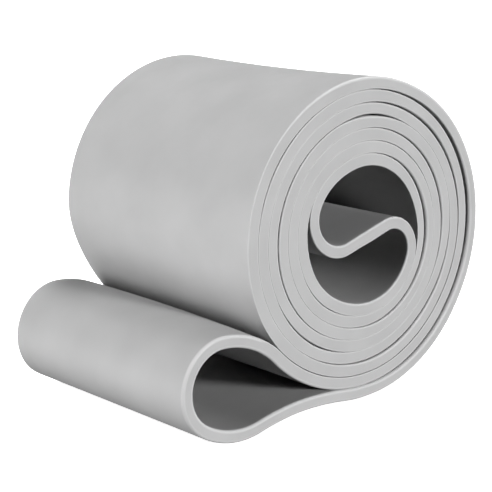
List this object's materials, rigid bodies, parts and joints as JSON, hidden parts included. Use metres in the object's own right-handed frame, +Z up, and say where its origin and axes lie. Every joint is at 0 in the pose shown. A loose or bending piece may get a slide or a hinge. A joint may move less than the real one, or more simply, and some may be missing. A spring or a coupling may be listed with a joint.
{
  "type": "stretching strap",
  "caption": "Wide closed-loop rubber resistance band, folded double and rolled up, with its open end loop resting beside the roll.",
  "frame": {"origin": "on the surface the strap rests on, under the middle of its box along X and along the strap's width", "axes": "+X from the end loop to the roll, +Y along the strap's width, +Z up"},
  "size_m": [0.1462, 0.1016, 0.1189],
  "materials": {
    "latex": "satin"
  },
  "bodies": {
    "end_loop": {"end_loop_lower_run": "latex", "end_loop_bend": "latex", "end_loop_upper_run": "latex"},
    "under_wrap": {"under_wrap_inner_run": "latex", "under_wrap_outer_run": "latex"},
    "side_wrap": {"side_wrap_inner_run": "latex", "side_wrap_outer_run": "latex"},
    "roll": {"core_wall": "latex", "core_bend": "latex", "core_crossing": "latex", "inner_run_turn_1": "latex", "inner_run_turn_2": "latex", "inner_run_turn_3": "latex", "outer_run_turn_1": "latex", "outer_run_turn_2": "latex", "outer_run_turn_3": "latex"}
  },
  "joints": [
    {"name": "unroll_under", "type": "hinge", "parent": "end_loop", "child": "under_wrap", "pos_m": [0.01135, 0, 0], "axis": [0, 1, 0], "range_deg": [0, 15], "stiffness_Nm_per_rad": 0.3, "springref_deg": -20.05},
    {"name": "unroll_halfway", "type": "hinge", "parent": "under_wrap", "child": "side_wrap", "pos_m": [0.05544, 0, 0.0177], "axis": [0, 1, 0], "range_deg": [0, 8], "stiffness_Nm_per_rad": 0.3, "springref_deg": -20.05},
    {"name": "unroll_side", "type": "hinge", "parent": "side_wrap", "child": "roll", "pos_m": [0.07315, 0, 0.0606], "axis": [0, 1, 0], "range_deg": [0, 4], "stiffness_Nm_per_rad": 0.3, "springref_deg": -20.05}
  ],
  "couplings": [
    {"joint": "unroll_side", "follows": "unroll_halfway", "ratio": 0.5}
  ]
}
